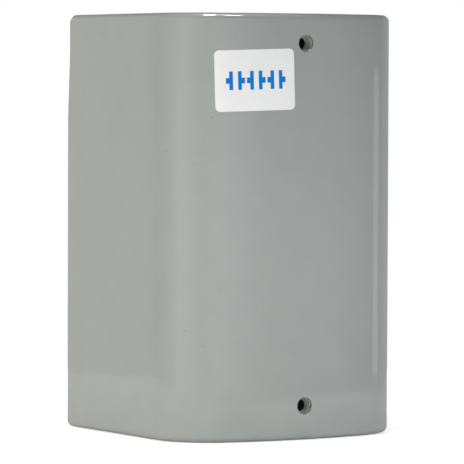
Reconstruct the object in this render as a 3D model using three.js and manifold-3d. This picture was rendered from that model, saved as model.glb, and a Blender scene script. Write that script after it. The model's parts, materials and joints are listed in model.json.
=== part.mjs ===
// Magnetic motor starter in a wall enclosure: a sheet-steel base and a drawn cover hold a three-pole
// contactor and a thermal overload relay on one mounting plate.
// Millimetres, +Z up. The origin is the centre of the wall face: x runs to the right, +y into the wall,
// and a "depth" below is the distance in front of the wall, so that y = -depth.
import * as THREE from "three";
import { mergeVertices } from "three/addons/utils/BufferGeometryUtils.js";
import Module from "manifold-3d";

const wasm = await Module();
wasm.setup();

// ---------------------------------------------------------------- driving dimensions
const HEIGHT = 286;
const WIDTH = 180;
const DEPTH = 167;
const CORNER_R = 43; // upright front corners of the cover
const FRONT_R = 250; // the front panel is slightly bowed
const EDGE_R = 4.5; // drawn edge round the top and bottom
const SHEET = 1.5;
const GAP = 0.3; // between pieces that touch
const FLANGE = 14; // the cover's turned-in top and bottom rims
const WALL_CLEARANCE = 1; // the cover's rear edge stays off the wall
const RELIEF = { low: 72, deep: 4.4 }; // the rear edge slants forward at the top, so that the cover tips off
const TRIM = 60; // the cover's solids run past the wall face and are trimmed there

// white film on the upper left of the front
const NAMEPLATE = { left: -65.4, right: -9, halfZ: 20.5, z: 98, r: 3.5, tilt: 0.03, thick: 0.3 };

// cover fastening
const SCREW_Z = { upper: 123, lower: -120 };
const CUP = { r: 5.6, floor: 157, skin: 1.5 }; // drawn recess round each cover screw
const CUP_HOLE = 2.6;
const TAB = { half: 16, back: 152.5, reach: 29, hole: 3.8 }; // folded ears that take the clip nuts
const NUT = { sheet: 0.6, half: 7, boss: 3.6, bossDeep: 1.8, hole: 2.5 };

// base
const BASE_INSET = SHEET + 0.5; // from the cover's outside to the base's outside
const BASE_FLANGE = 22;
const LIP = 9;
const STANDOFF = 6;
const KNOCKOUT = { x: 38, depth: 72, r: 14.2, proud: 0.4 };
const BACK_KNOCKOUT = { x: 62, z: -62 };
const KEYHOLE = { z: 109, r: 5.5, neck: 3, top: 121 };
const WALL_SLOT = { x: 60, z: -118, halfX: 7, halfZ: 3.5 };
const CORNER_LIP = DEPTH - CORNER_R - 8; // how far forward the base's corner lips run

// mounting plate and its two screws
const PLATE = { half: 38, z: 100, thick: 1.6 };
const PLATE_BACK = SHEET + STANDOFF + GAP;
const PLATE_FRONT = PLATE_BACK + PLATE.thick;
const PLATE_SCREWS = { upper: [0, 92.5], lower: [0, -92.5] };
const HOOKS = [-70, -28, 10, 68]; // heights of the folded hooks that hold the two devices
const HOOK = { halfZ: 4, sheet: 1.2, front: 16, bite: 1.5, play: 0.5 };

// contactor
const DEVICE_BACK = PLATE_FRONT + GAP;
const DEVICE_HALF = 32.5;
const POLES = [-20, 0, 20];
const CHANNEL_HALF = 7.5; // half width of one pole's channel
const CONTACTOR = { low: -5, high: 85, mid: 40, split: 57.5, front: 98 };
const ARC_COVER = { half: 27, top: 112, wall: 2.4 };
const CAVITY = { half: 28, z: 22, floor: DEVICE_BACK + 3 };
const ARC_SLOTS = { heights: [-12, -4, 4, 12], halfX: 6, halfZ: 1.6 };

// magnet: E-shaped core and armature with a 5.5 mm stroke
const STROKE = 5.5;
const MAGNET = { half: 26, lamination: 8, centre: 6, outer: 7 };
const CORE = { back: CAVITY.floor + GAP, yoke: 21, pole: 37 };
const ARMATURE = { pole: CORE.pole + STROKE + GAP, yoke: 44.5, front: 52 };
const COIL = { back: 21.6, front: 36.4, halfX: 17.5, halfZ: 20.5 };

// main contacts
const STRIP = { back: 68, thick: 1.5, half: 4.5 };
const TIP = { thick: 1.2, half: 3, reach: 15 };
const BRIDGE = { back: 76.4, thick: 1.2, half: 3.2, reach: 18 };
const POST = { halfX: 5.5, halfZ: 4.5, front: 95, windowBack: 76.1, windowFront: 90, windowHalf: 3.6 };

// overload relay
const RELAY = { low: -85, high: -5.4, shelf: 50, front: 84, wall: 2.4, coverLow: -62 };
const HEATER = { tongue: [69.8, 71.2], foot: [38, 39.4], deep: 24, top: -15, bottom: -55 };
const HEATER_FOLDS = [-20, -26, -32, -38, -44];
const RIBBON = 1.2; // thickness of the heating ribbon
const RESET = { x: -10, z: -48, r: 5.5, stem: 2.2, stroke: 3 };
const DIAL = { x: 10, z: -48, r: 6 };
const TRIP_TRAVEL = 2;

// screws, terminals and wires
const ARC_SCREWS = { upper: [-10, 65], lower: [10, 15] };
const DECK = { start: 30, back: 67.7 }; // terminal decks, measured from the contactor's middle
const SCREW_OUT = { contactor: 37.5, relay: -76 };
const WING = { side: 41, front: 28, x: 36.8, halfZ: 19 }; // side ledge for the coil terminals
const COIL_TERMINALS = { upper: 49, lower: 31 };
const WIRE_R = 1.2;
const GROUND = { x: 62, z: -98 };

// slotted screws: radii of shank and head, length under the head, heights of the head's edge and crown
const COVER_SCREW = { shank: 2.1, length: 13.8, head: 4.1, edge: 1.4, crown: 3.1 };
const PLATE_SCREW = { shank: 2, length: 7.7, head: 4.6, edge: 1.6, crown: 3 };
const ARC_SCREW = { shank: 1.6, length: 62.3, head: 3.2, edge: 1.2, crown: 2.2 };
const TERMINAL_SCREW = { shank: 1.8, head: 3.6, edge: 1.8, crown: 3 };
const TERMINAL_HOLE = 2.2;
const ARC_HOLE = 2;
const DRIVER_SLOT = 0.6; // half width

const ROUND = 24; // sides of a round feature
const SMALL_ROUND = 12; // sides of a small screw or pin

// ---------------------------------------------------------------- materials
const finish = (color, roughness, metalness) =>
  new THREE.MeshStandardMaterial({ color, roughness, metalness });

const MATERIALS = {
  grey_enamel: finish(0x8f9492, 0.32, 0.0),
  base_enamel: finish(0x8b908e, 0.4, 0.0),
  label_film: finish(0xe2e3e3, 0.45, 0.0),
  black_oxide: finish(0x161616, 0.55, 0.6),
  zinc_steel: finish(0xb9bcc0, 0.35, 1.0),
  spring_steel: finish(0x6b6d70, 0.4, 1.0),
  black_moulding: finish(0x1d1f21, 0.5, 0.0),
  grey_moulding: finish(0x54585b, 0.5, 0.0),
  white_moulding: finish(0xd6d3c8, 0.5, 0.0),
  laminated_steel: finish(0x7a7772, 0.45, 1.0),
  coil_tape: finish(0xc78a2b, 0.5, 0.0),
  silver_copper: finish(0xb87545, 0.35, 1.0),
  brass_zinc: finish(0xc9b27a, 0.35, 1.0),
  reset_blue: finish(0x1f5fae, 0.35, 0.0),
  ground_green: finish(0x1f7a3c, 0.4, 0.3),
  wire_red: finish(0xa32420, 0.5, 0.0),
};

// ---------------------------------------------------------------- shape helpers
// A closed three.js geometry as a solid that can be joined and cut.
function solid(geometry) {
  const bare = geometry.clone();
  bare.deleteAttribute("normal");
  bare.deleteAttribute("uv");
  const merged = mergeVertices(bare, 1e-4);
  const vertProperties = merged.getAttribute("position").array;
  const triVerts = new Uint32Array(merged.index.array);
  return new wasm.Manifold(new wasm.Mesh({ numProp: 3, vertProperties, triVerts }));
}

// A solid back as a three.js geometry.
function geometryOf(made) {
  const mesh = made.getMesh();
  const geometry = new THREE.BufferGeometry();
  geometry.setAttribute("position", new THREE.BufferAttribute(mesh.vertProperties, 3));
  geometry.setIndex(new THREE.BufferAttribute(mesh.triVerts, 1));
  geometry.computeVertexNormals();
  return geometry;
}

// A block between two x, two depths and two z.
function block([x0, x1], [d0, d1], [z0, z1]) {
  const box = new THREE.BoxGeometry(x1 - x0, d1 - d0, z1 - z0);
  box.translate((x0 + x1) / 2, -(d0 + d1) / 2, (z0 + z1) / 2);
  return solid(box);
}

// A round bar along the depth direction, which may taper from r0 at depth d0 to r1 at depth d1.
function bar(x, z, r0, [d0, d1], sides = ROUND, r1 = r0) {
  const cylinder = new THREE.CylinderGeometry(r0, r1, d1 - d0, sides);
  cylinder.translate(x, -(d0 + d1) / 2, z);
  return solid(cylinder);
}

// A flat outline in x and z, pushed out between two depths.
function slab(shape, [d0, d1], curveSegments = 4) {
  const made = new THREE.ExtrudeGeometry(shape, { depth: d1 - d0, bevelEnabled: false, curveSegments });
  made.rotateX(Math.PI / 2);
  made.translate(0, -d0, 0);
  return solid(made);
}

// A rectangle with round corners.
function roundedRect([x0, x1], [z0, z1], r) {
  const shape = new THREE.Shape();
  shape.moveTo(x0 + r, z0);
  shape.lineTo(x1 - r, z0);
  shape.absarc(x1 - r, z0 + r, r, -Math.PI / 2, 0, false);
  shape.lineTo(x1, z1 - r);
  shape.absarc(x1 - r, z1 - r, r, 0, Math.PI / 2, false);
  shape.lineTo(x0 + r, z1);
  shape.absarc(x0 + r, z1 - r, r, Math.PI / 2, Math.PI, false);
  shape.lineTo(x0, z0 + r);
  shape.absarc(x0 + r, z0 + r, r, Math.PI, 1.5 * Math.PI, false);
  return shape;
}

// A body turned about the depth direction; the profile lists [radius, depth] from back to front.
function turned(x, z, profile, sides = SMALL_ROUND) {
  const points = profile.map(([r, d]) => new THREE.Vector2(r, -d)).reverse();
  const lathe = new THREE.LatheGeometry(points, sides);
  lathe.translate(x, 0, z);
  return solid(lathe);
}

const between = (a, b) => [Math.min(a, b), Math.max(a, b)];
const about = (middle, half) => [middle - half, middle + half];
const joined = (...solids) => solids.reduce((all, next) => all.add(next));
const cut = (from, ...tools) => tools.reduce((all, next) => all.subtract(next), from);

// A straight driver slot across a screw head whose crown is at depth "front".
function driverSlot(x, z, half, front, deep) {
  return block(about(x, half), [front - deep, front + 1], about(z, DRIVER_SLOT));
}

// A slotted screw along the depth direction, with the underside of its head at depth "seat".
function slottedScrew(x, z, seat, { shank, length, head, edge, crown }) {
  const tip = seat - length;
  const profile = [
    [0, tip],
    [shank, tip],
    [shank, seat],
    [head, seat],
    [head, seat + edge],
    [0.75 * head, seat + crown - 0.2],
    [0, seat + crown],
  ];
  return cut(turned(x, z, profile), driverSlot(x, z, head + 1, seat + crown, crown / 2));
}

// ---------------------------------------------------------------- enclosure
// The cover seen from above, set in by "inset" and carried past the wall face so that it can be trimmed.
function coverOutline(inset) {
  const side = WIDTH / 2 - inset;
  const cornerX = WIDTH / 2 - CORNER_R;
  const frontY = FRONT_R - DEPTH;
  const reach = FRONT_R - CORNER_R;
  const cornerY = frontY - Math.sqrt(reach ** 2 - cornerX ** 2);
  const turn = Math.asin(cornerX / reach);
  const down = 1.5 * Math.PI;
  const behind = TRIM / 2;
  const shape = new THREE.Shape();
  shape.moveTo(-side, behind);
  shape.lineTo(-side, cornerY);
  shape.absarc(-cornerX, cornerY, CORNER_R - inset, Math.PI, down - turn, false);
  shape.absarc(0, frontY, FRONT_R - inset, down - turn, down + turn, false);
  shape.absarc(cornerX, cornerY, CORNER_R - inset, down + turn, 2 * Math.PI, false);
  shape.lineTo(side, behind);
  return shape;
}

// The cover's outline as a solid between two z, with its top and bottom edges rounded to r.
function coverBody(inset, half, r) {
  const rounded = {
    depth: 2 * (half - r),
    bevelEnabled: r > 0,
    bevelThickness: r,
    bevelSize: r,
    bevelOffset: -r,
    bevelSegments: 3,
    curveSegments: 5,
  };
  const made = new THREE.ExtrudeGeometry(coverOutline(inset), rounded);
  made.translate(0, 0, -(half - r));
  return solid(made);
}

function coverShell() {
  const half = HEIGHT / 2;
  const outside = coverBody(0, half, EDGE_R);
  const inside = coverBody(SHEET, half - SHEET, EDGE_R - SHEET);
  const rimWindow = coverBody(FLANGE, HEIGHT, 0);
  const behindWall = block([-WIDTH, WIDTH], [-TRIM, WALL_CLEARANCE], [-HEIGHT, HEIGHT]);
  let shell = cut(outside, inside, rimWindow);
  for (const z of Object.values(SCREW_Z)) {
    const cup = bar(0, z, CUP.r + CUP.skin, [CUP.floor - CUP.skin, DEPTH]).intersect(outside);
    const bore = bar(0, z, CUP.r, [CUP.floor, DEPTH + 5]);
    shell = cut(shell.add(cup), bore, bar(0, z, CUP_HOLE, [CUP.floor - 5, DEPTH]));
  }
  return cut(shell, behindWall, rearRelief());
}

// The wedge that slants the cover's rear edge forward towards the top.
function rearRelief() {
  const high = HEIGHT / 2 + 1;
  const shape = new THREE.Shape();
  shape.moveTo(-WALL_CLEARANCE, RELIEF.low);
  shape.lineTo(TRIM, RELIEF.low);
  shape.lineTo(TRIM, high);
  shape.lineTo(-WALL_CLEARANCE - RELIEF.deep, high);
  const wedge = new THREE.ExtrudeGeometry(shape, { depth: 2 * WIDTH, bevelEnabled: false });
  const across = new THREE.Vector3(1, 0, 0);
  const inward = new THREE.Vector3(0, 1, 0);
  const up = new THREE.Vector3(0, 0, 1);
  wedge.applyMatrix4(new THREE.Matrix4().makeBasis(inward, up, across));
  wedge.translate(-WIDTH, 0, 0);
  return solid(wedge);
}

// The white film, wrapped over the bowed front and the start of the left corner.
function nameplate() {
  const { left, right, halfZ, z, r, tilt, thick } = NAMEPLATE;
  const outside = coverBody(-GAP - thick, HEIGHT / 2, 0);
  const under = coverBody(-GAP, HEIGHT, 0);
  const half = (right - left) / 2;
  const start = DEPTH - CORNER_R;
  const film = new THREE.ExtrudeGeometry(roundedRect([-half, half], [-halfZ, halfZ], r), {
    depth: CORNER_R + 5,
    bevelEnabled: false,
    curveSegments: 2,
  });
  film.rotateX(Math.PI / 2);
  film.rotateY(-tilt);
  film.translate((left + right) / 2, -start, z);
  return cut(solid(film).intersect(outside), under);
}

// A folded spring-steel nut that clips over the base's ear.
function clipNut(z) {
  const { sheet, half, boss, bossDeep, hole } = NUT;
  const outward = Math.sign(z);
  const back = TAB.back - GAP - sheet;
  const front = TAB.back + SHEET + GAP + sheet;
  const edge = outward * (HEIGHT / 2 - BASE_INSET - TAB.reach);
  const bend = edge - outward * (GAP + sheet);
  const across = about(0, half);
  const legs = between(bend, z + outward * half);
  const body = joined(
    block(across, [back, back + sheet], legs),
    block(across, [front - sheet, front], legs),
    block(across, [back, front], between(bend, bend + outward * sheet)),
    bar(0, z, boss, [back - bossDeep, back + sheet / 2], SMALL_ROUND),
  );
  return cut(body, bar(0, z, hole, [back - 5, front + 5], SMALL_ROUND));
}

// Screw holes that fix the base to the wall: one keyhole above, two slots below.
function wallHoles() {
  const through = [-5, SHEET + 5];
  const { x, z, halfX, halfZ } = WALL_SLOT;
  const slots = [-x, x].map((middle) =>
    slab(roundedRect(about(middle, halfX), about(z, halfZ), halfZ - 0.1), through, 3),
  );
  const neck = roundedRect(about(0, KEYHOLE.neck), [KEYHOLE.z, KEYHOLE.top], KEYHOLE.neck - 0.1);
  return [bar(0, KEYHOLE.z, KEYHOLE.r, through), slab(neck, through, 3), ...slots];
}

function enclosureBase() {
  const half = HEIGHT / 2 - BASE_INSET;
  const side = WIDTH / 2 - BASE_INSET;
  const back = block([-side, side], [0, SHEET], [-half, half]);
  const footprint = coverBody(BASE_INSET, half, EDGE_R - BASE_INSET + 0.5);
  let base = back;
  for (const hand of [-1, 1]) {
    const [x0, x1] = hand < 0 ? [-side, SHEET - side] : [side - SHEET, side];
    base = base.add(block([x0, x1], [0, BASE_FLANGE], [-half, half]));
    const [z0, z1] = hand < 0 ? [-half, SHEET - half] : [half - SHEET, half];
    const endWall = block([-side, side], [0, TAB.back + SHEET], [z0, z1]);
    const tabZ = hand < 0 ? [-half, TAB.reach - half] : [half - TAB.reach, half];
    base = joined(base, endWall, block([-TAB.half, TAB.half], [TAB.back, TAB.back + SHEET], tabZ));
    for (const edge of [-1, 1]) {
      const lipX = edge < 0 ? [-side, SHEET - side] : [side - SHEET, side];
      const lipZ = hand < 0 ? [-half, LIP - half] : [half - LIP, half];
      base = base.add(block(lipX, [0, CORNER_LIP], lipZ));
    }
  }
  base = base.intersect(footprint);
  for (const x of [-KNOCKOUT.x, KNOCKOUT.x]) {
    base = joined(base, knockout(x, half), knockout(x, -half));
  }
  for (const [x, z] of Object.values(PLATE_SCREWS)) {
    base = base.add(bar(x, z, 8, [SHEET / 2, SHEET + STANDOFF], ROUND, 6));
    base = base.subtract(bar(x, z, 2.4, [-5, 20], SMALL_ROUND));
  }
  for (const x of [-BACK_KNOCKOUT.x, BACK_KNOCKOUT.x]) {
    base = base.add(bar(x, BACK_KNOCKOUT.z, KNOCKOUT.r, [SHEET / 2, SHEET + KNOCKOUT.proud]));
  }
  const earHoles = Object.values(SCREW_Z).map((z) => bar(0, z, TAB.hole, [TAB.back - 5, TAB.back + 5]));
  return cut(base, ...earHoles, ...wallHoles(), bar(GROUND.x, GROUND.z, 2.3, [-5, 20], SMALL_ROUND));
}

// A half-sheared disc in an end wall, pushed out where a conduit will enter.
function knockout(x, z) {
  const disc = new THREE.CylinderGeometry(KNOCKOUT.r, KNOCKOUT.r, SHEET / 2 + KNOCKOUT.proud, ROUND);
  disc.rotateX(Math.PI / 2);
  const outward = Math.sign(z);
  disc.translate(x, -KNOCKOUT.depth, z + outward * (KNOCKOUT.proud - (SHEET / 2 + KNOCKOUT.proud) / 2));
  return solid(disc);
}

function mountingPlate() {
  const outline = roundedRect([-PLATE.half, PLATE.half], [-PLATE.z, PLATE.z], 4);
  let plate = slab(outline, [PLATE_BACK, PLATE_FRONT], 2);
  const { halfZ, sheet, front, bite } = HOOK;
  const inner = DEVICE_HALF + GAP;
  for (const z of HOOKS) {
    const heights = about(z, halfZ);
    for (const hand of [-1, 1]) {
      const outer = hand * (inner + sheet);
      const leg = block(between(hand * inner, outer), [PLATE_BACK, front], heights);
      const barb = block(between(hand * (inner - bite), outer), [front - sheet, front], heights);
      plate = joined(plate, leg, barb);
    }
  }
  const holes = Object.values(PLATE_SCREWS).map(([x, z]) => bar(x, z, 2.9, [0, 20], SMALL_ROUND));
  return cut(plate, ...holes);
}

// Hex-headed green screw for the earth wire, in the base's lower right corner.
function groundScrew() {
  const seat = SHEET + GAP;
  const { x, z } = GROUND;
  const body = joined(
    turned(x, z, [[0, 0.2], [2, 0.2], [2, seat + 0.5], [0, seat + 0.5]]),
    turned(x, z, [[0, seat], [6, seat], [6, seat + 1.2], [0, seat + 1.2]]),
    turned(x, z, [[0, seat + 1], [4.6, seat + 1], [4.6, seat + 4.6], [0, seat + 4.6]], 6),
  );
  return cut(body, driverSlot(x, z, 6, seat + 4.8, 1.4));
}

// ---------------------------------------------------------------- contactor
// Notches in a device's sides that take the plate's hooks.
function hookNotches() {
  const { halfZ, sheet, front, bite, play } = HOOK;
  const depths = [front - sheet - play, front + play];
  const notches = [];
  for (const z of HOOKS) {
    for (const hand of [-1, 1]) {
      const across = between(hand * (DEVICE_HALF - bite - play), hand * (DEVICE_HALF + 1));
      notches.push(block(across, depths, about(z, halfZ + play)));
    }
  }
  return notches;
}

function arcScrewHoles() {
  const depths = [CONTACTOR.split - 9.5, ARC_COVER.top + 8];
  return Object.values(ARC_SCREWS).map(([x, z]) => bar(x, z, ARC_HOLE, depths, SMALL_ROUND));
}

function contactorBase() {
  const { low, high, mid, split } = CONTACTOR;
  const body = block(about(0, DEVICE_HALF), [DEVICE_BACK, split], [low, high]);
  const wing = block([DEVICE_HALF - 1, WING.side], [DEVICE_BACK, WING.front], about(mid, WING.halfZ));
  const fence = block([DEVICE_HALF - 1, WING.side], [DEVICE_BACK, WING.front + 5], about(mid, 1));
  const cavity = block(about(0, CAVITY.half), [CAVITY.floor, split + 5], about(mid, CAVITY.z));
  const leads = Object.values(COIL_TERMINALS).map((z) => bar(WING.x, z, 1.9, [19, 40], SMALL_ROUND));
  return cut(joined(body, wing, fence), cavity, ...leads, ...hookNotches(), ...arcScrewHoles());
}

function contactorHousing() {
  const { low, high, mid, split, front } = CONTACTOR;
  const tools = [...arcScrewHoles()];
  for (const x of POLES) {
    const clear = front + 5;
    tools.push(block(about(x, CHANNEL_HALF), [DECK.back, clear], about(mid, 20.5)));
    tools.push(block(about(x, POST.halfX + 0.6), [split - 5, clear], about(mid, POST.halfZ + 0.6)));
    tools.push(block(about(x, STRIP.half + GAP), [DECK.back, DECK.back + 4], [low - 5, high + 5]));
    for (const hand of [-1, 1]) {
      const deck = between(mid + hand * DECK.start, mid + hand * 50);
      tools.push(block(about(x, 8), [DECK.back, clear], deck));
      const screwZ = mid + hand * SCREW_OUT.contactor;
      tools.push(bar(x, screwZ, TERMINAL_HOLE, [split + 2, DECK.back + 1], SMALL_ROUND));
    }
  }
  return cut(block(about(0, DEVICE_HALF), [split + GAP, front], [low, high]), ...tools);
}

function arcCover() {
  const { mid, front } = CONTACTOR;
  const { half, top, wall } = ARC_COVER;
  const outside = slab(roundedRect(about(0, DEVICE_HALF), about(mid, half), 2), [front + GAP, top], 2);
  let cover = cut(outside, block(about(0, DEVICE_HALF - wall), [front, top - wall], about(mid, half - wall)));
  for (const x of [-10, 10]) {
    cover = cover.add(block(about(x, 1.2), [front + GAP, top - 1], about(mid, half - 1)));
  }
  for (const [x, z] of Object.values(ARC_SCREWS)) {
    cover = cover.add(bar(x, z, 3.8, [front + GAP, top - 1]).intersect(outside));
  }
  for (const x of POLES) {
    for (const z of ARC_SLOTS.heights) {
      const slot = block(about(x, ARC_SLOTS.halfX), [top - 5, top + 5], about(mid + z, ARC_SLOTS.halfZ));
      cover = cover.subtract(slot);
    }
  }
  return cut(cover, ...arcScrewHoles());
}

// Three legs on a yoke; the legs run from depth "pole" to the yoke and the yoke ends at depth "back".
function eShape(pole, yoke, back) {
  const z = about(CONTACTOR.mid, MAGNET.lamination);
  const legs = [-MAGNET.half, MAGNET.half - MAGNET.outer].map((x) =>
    block([x, x + MAGNET.outer], between(pole, back), z),
  );
  return joined(
    block(about(0, MAGNET.half), between(yoke, back), z),
    block(about(0, MAGNET.centre), between(pole, back), z),
    ...legs,
  );
}

function coilBobbin() {
  const { back, front, halfX, halfZ } = COIL;
  const mid = CONTACTOR.mid;
  const flange = (d) => block(about(0, halfX), [d, d + 1.4], about(mid, halfZ));
  const tube = block(about(0, 7.6), [back, front], about(mid, MAGNET.lamination + 1.6));
  const bore = block(about(0, MAGNET.centre + GAP), [0, 50], about(mid, MAGNET.lamination + GAP));
  return cut(joined(flange(back), flange(front - 1.4), tube), bore);
}

function coilWinding() {
  const { back, front, halfX, halfZ } = COIL;
  const depths = [back + 1.7, front - 1.7];
  const mid = CONTACTOR.mid;
  const outer = slab(roundedRect(about(0, halfX - 1), about(mid, halfZ - 1), 5), depths, 3);
  return cut(outer, block(about(0, 7.9), [0, 50], about(mid, MAGNET.lamination + 1.9)));
}

function coilTerminal(z) {
  const seat = WING.front + GAP;
  const body = joined(
    block(about(WING.x, 3.5), [seat, seat + 1.2], about(z, 3.5)),
    bar(WING.x, z, 1.5, [20, seat + 0.5], SMALL_ROUND),
    bar(WING.x, z, 2.8, [seat + 1, seat + 3.4], SMALL_ROUND),
  );
  return cut(body, driverSlot(WING.x, z, 4, seat + 3.6, 1.2));
}

function contactCarrier() {
  const mid = CONTACTOR.mid;
  const back = ARMATURE.front + GAP;
  let carrier = joined(
    block(about(0, MAGNET.half), [back, back + 4], about(mid, MAGNET.lamination)),
    block(about(0, 5), [back, back + 4], about(mid, 20)),
  );
  for (const x of POLES) {
    carrier = carrier.add(block(about(x, POST.halfX), [back, POST.front], about(mid, POST.halfZ)));
    const window = block(about(x, POST.windowHalf), [POST.windowBack, POST.windowFront], about(mid, 9));
    carrier = carrier.subtract(window);
  }
  return carrier;
}

function contactBridge(x) {
  const { back, thick, half, reach } = BRIDGE;
  const mid = CONTACTOR.mid;
  const tips = [-1, 1].map((hand) =>
    block(about(x, TIP.half), [back - TIP.thick, back + 0.2], about(mid + hand * TIP.reach, TIP.half)),
  );
  return joined(slab(roundedRect(about(x, half), about(mid, reach), 1.5), [back, back + thick], 2), ...tips);
}

// A fixed contact strip with its tip, running out to a terminal screw hole; hand is +1 for the line side.
function contactStrip(x, hand) {
  const { back, thick, half } = STRIP;
  const mid = CONTACTOR.mid;
  const out = hand > 0 ? 43.5 : 44.5;
  const strip = block(about(x, half), [back, back + thick], between(mid + hand * 11, mid + hand * out));
  const tipZ = about(mid + hand * TIP.reach, TIP.half);
  const tip = block(about(x, TIP.half), [back + thick - 0.2, back + thick + TIP.thick], tipZ);
  const hole = bar(x, mid + hand * SCREW_OUT.contactor, TERMINAL_HOLE, [back - 5, back + 5], SMALL_ROUND);
  return cut(strip.add(tip), hole);
}

// A terminal screw seated on a strip whose face is at depth "face".
function terminalScrew(x, z, face, length) {
  return slottedScrew(x, z, face + GAP, { ...TERMINAL_SCREW, length });
}

// A helical compression spring along the depth direction, between two depths.
function coilSpring(x, z, r, wire, [back, front], turns) {
  class Helix extends THREE.Curve {
    getPoint(t, target = new THREE.Vector3()) {
      const angle = 2 * Math.PI * turns * t;
      const depth = back + wire + (front - back - 2 * wire) * t;
      return target.set(x + r * Math.cos(angle), -depth, z + r * Math.sin(angle));
    }
  }
  return ropeAlong(new Helix(), wire, turns * 10, 5);
}

// A round section swept along a curve.
function ropeAlong(curve, r, steps, sides) {
  const section = new THREE.Shape();
  for (let i = 0; i < sides; i += 1) {
    const angle = (2 * Math.PI * i) / sides;
    const place = i === 0 ? "moveTo" : "lineTo";
    section[place](r * Math.cos(angle), r * Math.sin(angle));
  }
  return solid(new THREE.ExtrudeGeometry(section, { steps, bevelEnabled: false, extrudePath: curve }));
}

// ---------------------------------------------------------------- overload relay
function relayBase() {
  const { low, high, shelf } = RELAY;
  const body = block(about(0, DEVICE_HALF), [DEVICE_BACK, shelf], [low, high]);
  const wing = block([DEVICE_HALF - 1, WING.side], [DEVICE_BACK, WING.front], [-54, -36]);
  const cavity = block(about(0, 28), [20, shelf + 5], [-58, -11]);
  const entry = bar(WING.x, -45, WIRE_R + 0.4, [18, 40], SMALL_ROUND);
  const bores = [shelf - 10, shelf + 5];
  const holes = POLES.map((x) => bar(x, SCREW_OUT.relay, TERMINAL_HOLE, bores, SMALL_ROUND));
  const fenceZ = [low, RELAY.coverLow - 0.6];
  const fences = [-10, 10].map((x) => block(about(x, 1.2), [shelf - 1, shelf + 16], fenceZ));
  return cut(joined(body, wing, ...fences), cavity, entry, ...holes, ...hookNotches());
}

function relayCover() {
  const { high, shelf, front, wall, coverLow } = RELAY;
  const z = [coverLow, high];
  const back = shelf + GAP;
  const outside = slab(roundedRect(about(0, DEVICE_HALF), z, 2), [back, front], 2);
  const hollow = block(about(0, DEVICE_HALF - wall), [0, front - wall], [z[0] + wall, z[1] - wall]);
  const ledge = block([RESET.x - 7, RESET.x + 7], [62, 66], [z[0] + 1, RESET.z + 8]);
  const tools = [
    bar(RESET.x, RESET.z, RESET.r + 0.4, [front - 10, front + 5]),
    bar(RESET.x, RESET.z, RESET.stem + 0.4, [50, 70], SMALL_ROUND),
    bar(DIAL.x, DIAL.z, 2.8, [front - 10, front + 5], SMALL_ROUND),
  ];
  for (const x of POLES) {
    tools.push(block(about(x, 5), [shelf - 1, shelf + 2.2], [z[0] - 5, z[0] + 5]));
    tools.push(block(about(x, STRIP.half + GAP), [69.4, 71.7], [high - 5, high + 5]));
  }
  return cut(joined(cut(outside, hollow), ledge), ...tools);
}

// Tongue from the contactor, folded heating ribbon, and a foot under the load terminal.
function heaterElement(x) {
  const { tongue, foot, deep, top, bottom } = HEATER;
  const wide = about(x, 4);
  const narrow = about(x, 3);
  const first = HEATER_FOLDS[0];
  const last = HEATER_FOLDS.at(-1);
  const under = [top, top + STRIP.thick];
  let body = joined(
    block(wide, tongue, [top, CONTACTOR.low + 14]),
    block(wide, [foot[0], tongue[1]], under),
    block(wide, foot, [first, under[1]]),
    block(wide, foot, [bottom, last]),
    block(wide, [foot[0], RELAY.shelf - 0.2], [bottom, bottom + STRIP.thick]),
  );
  for (const [i, z] of HEATER_FOLDS.entries()) {
    body = body.add(block(narrow, [deep, foot[1]], about(z, RIBBON / 2)));
    if (i + 1 < HEATER_FOLDS.length) {
      const side = i % 2 === 0 ? [deep, deep + RIBBON] : [foot[1] - RIBBON, foot[1]];
      body = body.add(block(narrow, side, [HEATER_FOLDS[i + 1] - RIBBON / 2, z + RIBBON / 2]));
    }
  }
  const hole = bar(x, CONTACTOR.mid - SCREW_OUT.contactor, TERMINAL_HOLE, [60, 80], SMALL_ROUND);
  return cut(body, hole);
}

function relayTerminal(x) {
  const { low, shelf } = RELAY;
  const strip = block(about(x, STRIP.half), [shelf + GAP, shelf + GAP + STRIP.thick], [low + 1, -52]);
  return cut(strip, bar(x, SCREW_OUT.relay, TERMINAL_HOLE, [40, 60], SMALL_ROUND));
}

function resetButton() {
  const { x, z, r, stem } = RESET;
  const { shelf, front, wall } = RELAY;
  const inside = front - wall - GAP;
  const tip = shelf + GAP;
  const top = front + 4.2;
  const profile = [
    [0, tip],
    [stem, tip],
    [stem, inside - 2],
    [r + 1.5, inside - 2],
    [r + 1.5, inside],
    [r, inside],
    [r, top - 0.8],
    [r - 0.8, top],
    [0, top],
  ];
  return turned(x, z, profile, ROUND);
}

function tripBar() {
  return block(about(0, 26), [41.6, 45], [-51, -46]);
}

function currentDial() {
  const { x, z, r } = DIAL;
  const { front, wall } = RELAY;
  const seat = front + GAP;
  const inner = front - wall - 2;
  const top = seat + 2.6;
  const profile = [
    [0, inner],
    [2.4, inner],
    [2.4, seat],
    [r, seat],
    [r, top - 0.6],
    [r - 0.6, top],
    [0, top],
  ];
  const pointer = block(about(x, 0.6), [top - 1, top + 1], [z, z + r + 1]);
  return cut(turned(x, z, profile, ROUND), driverSlot(x, z, 4, top, 1.2), pointer);
}

// A wire through the listed [x, depth, z] points.
function controlWire(points) {
  const curve = new THREE.CatmullRomCurve3(points.map(([x, d, z]) => new THREE.Vector3(x, -d, z)));
  return ropeAlong(curve, WIRE_R, 22, 8);
}

function coilToRelayWire() {
  const start = COIL_TERMINALS.lower - 4.2;
  return controlWire([
    [WING.x, 31.2, start],
    [WING.x + 2, 31.8, start - 5],
    [46, 32, start - 16],
    [47, 32, -8],
    [45, 34, -32],
    [39, 35, -43],
    [WING.x, 31, -45],
    [WING.x, 20, -45],
  ]);
}

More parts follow.
